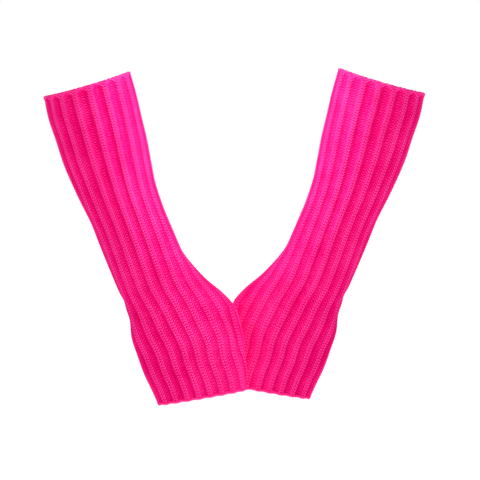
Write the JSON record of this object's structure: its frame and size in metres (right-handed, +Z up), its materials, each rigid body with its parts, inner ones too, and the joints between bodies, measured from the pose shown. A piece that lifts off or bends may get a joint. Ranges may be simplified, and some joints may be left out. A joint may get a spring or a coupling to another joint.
{
  "type": "pair of knitted arm warmers",
  "caption": "Pair of long ribbed fingerless arm warmers with thumb openings, in their worn form, hanging down to crossed hands.",
  "frame": {"origin": "midway between the centres of the two forearm openings, where the wearer's arms hold the pair up", "axes": "+Z up along the line midway between the arms, +X towards the left warmer, -Y the side that the backs of the hands face"},
  "size_m": [0.3436, 0.0755, 0.3021],
  "materials": {
    "pink_rib_knit": "matte rib-knitted yarn, hot pink"
  },
  "bodies": {
    "root": {"right_warmer_back": "pink_rib_knit", "right_warmer_palm": "pink_rib_knit", "left_warmer_back": "pink_rib_knit", "left_warmer_palm": "pink_rib_knit"}
  },
  "joints": []
}
